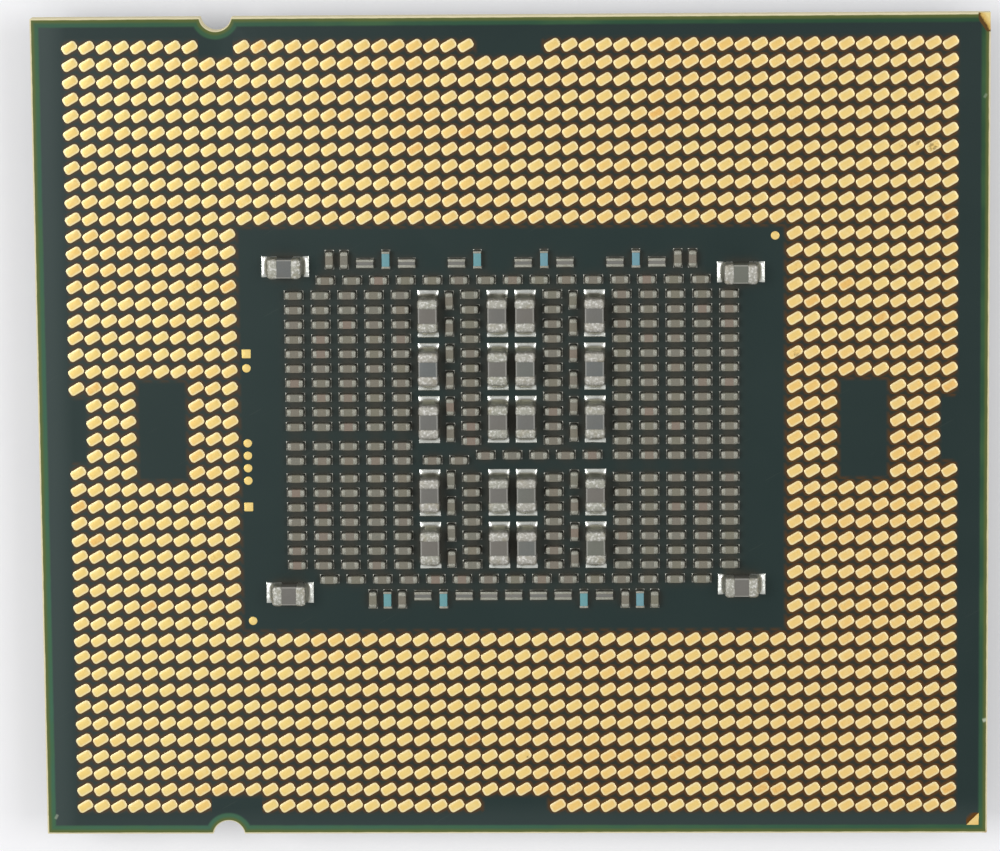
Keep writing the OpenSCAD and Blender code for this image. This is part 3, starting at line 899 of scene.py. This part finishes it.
tan_ceramic, place = begin("tan_ceramic")
tone = mark_of(place, "tone")
other_tone = place.node("TexWhiteNoise", {"noise_dimensions": "1D"}, {"W": tone * 91.7})
fired = place.noise(13.0, 4.0, 0.6)
colour = tone.blend(paint(117, 115, 99), paint(118, 112, 101))
colour = other_tone.rise(0.75, 1.0).blend(colour, paint(131, 115, 103))
colour = (0.7 * other_tone.rise(0.35, 0.0)).blend(colour, paint(116, 117, 107))
colour = (0.4 * fired.rise(0.4, 0.75)).blend(colour, paint(150, 141, 124))
coat(tan_ceramic, {
    "Base Color": colour,
    "Roughness": 0.45 + 0.2 * fired,
    "Specular IOR Level": 0.35,
    "Normal": fired.bump(0.012),
})

plated_tin, place = begin("plated_tin")
tone = mark_of(place, "tone")
pebble = place.noise(12.0, 4.0, 0.65)
patch = place.noise(3.0, 2.0)
colour = tone.blend(paint(145, 145, 133), paint(154, 153, 142))
colour = (0.5 * pebble.rise(0.45, 0.7)).blend(colour, paint(184, 184, 176))
colour = (0.4 * patch.rise(0.5, 0.75)).blend(colour, paint(132, 125, 108))
coat(plated_tin, {
    "Base Color": colour,
    "Roughness": 0.36 + 0.2 * pebble,
    "Metallic": 0.8,
    "Normal": pebble.bump(0.02),
})

# Painted shade and glint: the small chips' solder is painted dark for the shade its steep fillets mirror,
# and its pad corners carry a painted glint
solder_painted_dark, place = begin("small_solder")
ripple = place.noise(7.0, 3.0, 0.6)
colour = ripple.blend(paint(70, 69, 63), paint(120, 119, 111))
coat(solder_painted_dark, {
    "Base Color": (0.5 * mark_of(place, "edge")).blend(colour, paint(206, 206, 198)),
    "Roughness": 0.28 + 0.2 * ripple,
    "Metallic": 1.0,
    "Normal": ripple.bump(0.02),
})
for group in ("left", "right", "centre", "border"):
    stem = group + "_capacitor_"
    places, kind = chips(stem + "bodies", stem + "ends")
    set_out(group + "_ceramics", chip_body(kind), places, tan_ceramic, stem + "bodies")
    set_out(group + "_tinned_ends", chip_ends(kind, small_round), places, plated_tin,
            stem + "ends", crease=60)
    form, corners = chip_solder(kind, small_toe, small_climb, small_flank)
    set_out(group + "_solder", form, places, solder_painted_dark, stem + "solder",
            crease=60, edge=corners)


# Wide capacitors.
# Low ceramic chips of the same make whose metal runs along the two long sides, which keeps the path of
# the current short. They lie in the strips above and below the field.
wide_places, wide = chips("wide_capacitor_bodies", "wide_capacitor_ends")
wide_round = 0.03
wide_toe = 0.06
wide_climb = 0.1
wide_flank = 0.006
slate_ceramic, place = begin("slate_ceramic")
tone = mark_of(place, "tone")
fired = place.noise(11.0, 4.0, 0.6)
colour = tone.blend(paint(104, 105, 102), paint(115, 113, 108))
colour = (0.3 * fired).blend(colour, paint(140, 136, 128))
coat(slate_ceramic, {
    "Base Color": colour,
    "Roughness": 0.5 + 0.2 * fired,
    "Specular IOR Level": 0.35,
    "Normal": fired.bump(0.012),
})
set_out("wide_ceramics", chip_body(wide), wide_places, slate_ceramic,
        "wide_capacitor_bodies")
set_out("wide_tinned_sides", chip_ends(wide, wide_round), wide_places, plated_tin,
        "wide_capacitor_ends", crease=60)
form, corners = chip_solder(wide, wide_toe, wide_climb, wide_flank)
set_out("wide_solder", form, wide_places, solder_painted_dark, "wide_capacitor_solder",
        crease=60, edge=corners)


# Blue chips.
# Small chips under a clear blue glaze, with narrow tinned ends, that stand upright between the wide
# capacitors in the strips.
blue_places, blue = chips("blue_chip_bodies", "blue_chip_ends")
blue_round = 0.035
blue_flank = 0.012
blue_glaze, place = begin("blue_glaze")
tone = mark_of(place, "tone")
fired = place.noise(8.0, 3.0, 0.6)
colour = tone.blend(paint(86, 146, 150), paint(98, 142, 158))
colour = (0.4 * fired).blend(colour, paint(118, 168, 170))
coat(blue_glaze, {
    "Base Color": colour,
    "Roughness": 0.3 + 0.15 * fired,
    "Coat Weight": 0.3,
    "Normal": fired.bump(0.008),
})
set_out("blue_bodies", chip_body(blue), blue_places, blue_glaze, "blue_chip_bodies")
set_out("blue_tinned_ends", chip_ends(blue, blue_round), blue_places, plated_tin,
        "blue_chip_ends", crease=60)
form, corners = chip_solder(blue, small_toe, small_climb, blue_flank)
set_out("blue_solder", form, blue_places, solder_painted_dark, "blue_chip_solder",
        crease=60, edge=corners)


# Floor.
# A sheet of plain white paper on which the processor lies on its heat spreader. A little light comes
# through the paper from below, so its shadows are pale to the camera and in shiny metal.
paper, place = begin("white_paper")
through = 0.2
pulp = place.noise(0.5, 4.0)
seen = place.node("LightPath", out="Is Camera Ray")
for ray in ("Is Glossy Ray", "Is Transmission Ray"):
    seen = seen.most(place.node("LightPath", out=ray))
white = pulp.blend(paint(247, 247, 250), paint(251, 251, 253))
coat(paper, {
    "Base Color": (through * seen).blend(white, paint(0, 0, 0)),
    "Emission Color": (through * seen).blend(paint(0, 0, 0), paint(251, 251, 253)),
    "Emission Strength": 1.0,
    "Roughness": 0.85 + 0.1 * pulp,
    "Specular IOR Level": 0.1,
})
sheet_half = 3.0
sheet_corners = [(x * sheet_half, y * sheet_half, 0) for x, y in ((-1, -1), (1, -1), (1, 1), (-1, 1))]
sheet_mesh = bpy.data.meshes.new("floor")
sheet_mesh.from_pydata(sheet_corners, [], [(0, 1, 2, 3)])
sheet_mesh.materials.append(paper)
floor = bpy.data.objects.new("floor", sheet_mesh)
bpy.context.scene.collection.objects.link(floor)


# Light.
# Two soft lamps above the object, left and right of the camera, in a tent of white cloth that is
# brightest across from the camera, where the gold mirrors it.
left_share = 0.288
right_share = 0.174
lamp_far = 0.9
lamp_size = 0.4
lamp_aside = 0.55
lamp_beyond = 0.12
lamp_up = 0.83
cloth_level = 0.52
glow_level = 0.66
glow_tight = 30.0
for name, side, share in (("left_lamp", -1, left_share), ("right_lamp", 1, right_share)):
    light = bpy.data.lights.new(name, "AREA")
    light.shape = "SQUARE"
    light.size = lamp_size
    towards = Vector((lamp_aside * side, lamp_beyond, lamp_up)).normalized()
    light.energy = share * (math.pi * lamp_far) ** 2 / towards.z
    lamp = bpy.data.objects.new(name, light)
    lamp.location = lamp_far * towards
    lamp.rotation_euler = lamp.location.to_track_quat("Z", "Y").to_euler()
    bpy.context.scene.collection.objects.link(lamp)

tent = bpy.data.worlds.new("tent")
tent.use_nodes = True
bpy.context.scene.world = tent
cloth = tent.node_tree.nodes["Background"]
sky = Wire(cloth.outputs[0]).node("TexCoord", out=0).axes()
across_from_camera = 0.94 * sky[2] - 0.34 * sky[1]
glow = cloth_level + glow_level * across_from_camera.most(0.0) ** glow_tight
tent.node_tree.links.new(glow.socket, cloth.inputs["Strength"])
cloth.inputs["Color"].default_value = (1, 1, 1, 1)


# Camera.
# It looks down on the lands from slightly beyond the upper edge and to the right, through a long lens
# far above them, as the photo's camera did.
land_plane = land_top * MM
camera_at = Vector((10.41 * MM, 51.32 * MM, land_plane + 321.79 * MM))
camera_to = Vector((-0.728 * MM, 0.248 * MM, land_plane))
camera_roll = math.radians(-0.533)
lens = bpy.data.cameras.new("camera")
lens.lens = 197.67
lens.sensor_width = 36
lens.sensor_fit = "HORIZONTAL"
lens.clip_start = 0.01
camera = bpy.data.objects.new("camera", lens)
back = (camera_at - camera_to).normalized()
across = Vector((0, 1, 0)).cross(back).normalized()
upright = Matrix((across, back.cross(across), back)).transposed().to_4x4()
camera.matrix_world = Matrix.Translation(camera_at) @ upright @ Matrix.Rotation(camera_roll, 4, "Z")
bpy.context.scene.collection.objects.link(camera)
bpy.context.scene.camera = camera
bpy.context.scene.view_settings.view_transform = "Standard"
